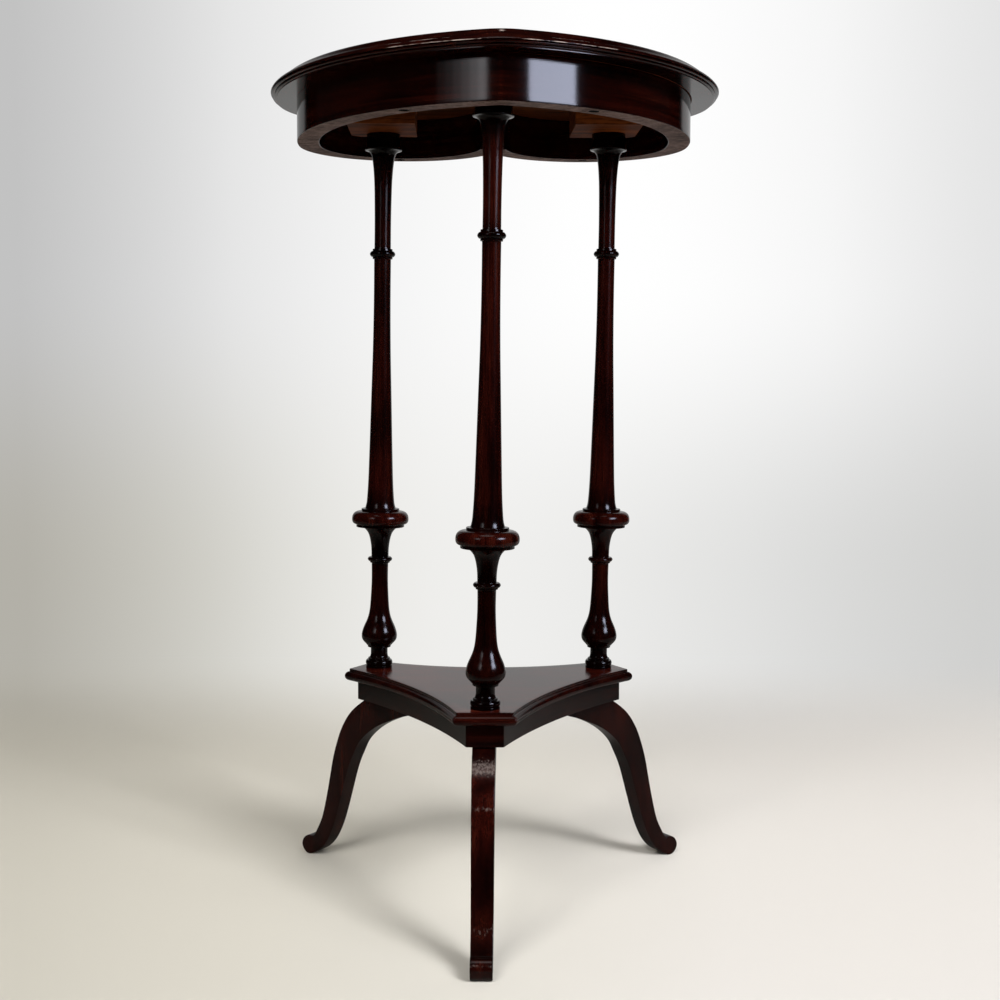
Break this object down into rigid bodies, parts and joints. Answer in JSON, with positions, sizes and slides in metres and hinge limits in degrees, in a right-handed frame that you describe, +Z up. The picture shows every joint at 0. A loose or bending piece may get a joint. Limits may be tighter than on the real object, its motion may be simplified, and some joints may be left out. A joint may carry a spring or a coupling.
{
  "type": "side table",
  "caption": "Small antique side table with a heart-shaped moulded top on a bent apron, turned columns, a hollow-sided triangular shelf and slender scroll-toed legs.",
  "frame": {"origin": "on the floor, under the middle of the whole outline", "axes": "+Z up, the heart's point and the front column and leg face -Y, +X to the right of someone who faces the front"},
  "size_m": [0.4025, 0.401, 0.724],
  "materials": {
    "polished_mahogany": "French polish, glossy, deep red-brown with worn edges",
    "raw_hardwood": "bare planed wood, matte",
    "dowel_wood": "bare turned wood, matte",
    "screw_steel": "dull and a little rusty"
  },
  "bodies": {
    "root": {"top_board": "polished_mahogany", "apron_left": "polished_mahogany", "apron_right": "polished_mahogany", "column_front": "polished_mahogany", "column_left": "polished_mahogany", "column_right": "polished_mahogany", "platform_board": "polished_mahogany", "platform_frame": "polished_mahogany", "leg_front": "polished_mahogany", "leg_left": "polished_mahogany", "leg_right": "polished_mahogany", "block_front": "raw_hardwood", "block_left": "raw_hardwood", "block_right": "raw_hardwood", "block_dowels": "dowel_wood", "apron_dowels": "dowel_wood", "leg_dowels": "dowel_wood", "apron_screws": "screw_steel", "platform_screws": "screw_steel"}
  },
  "joints": []
}
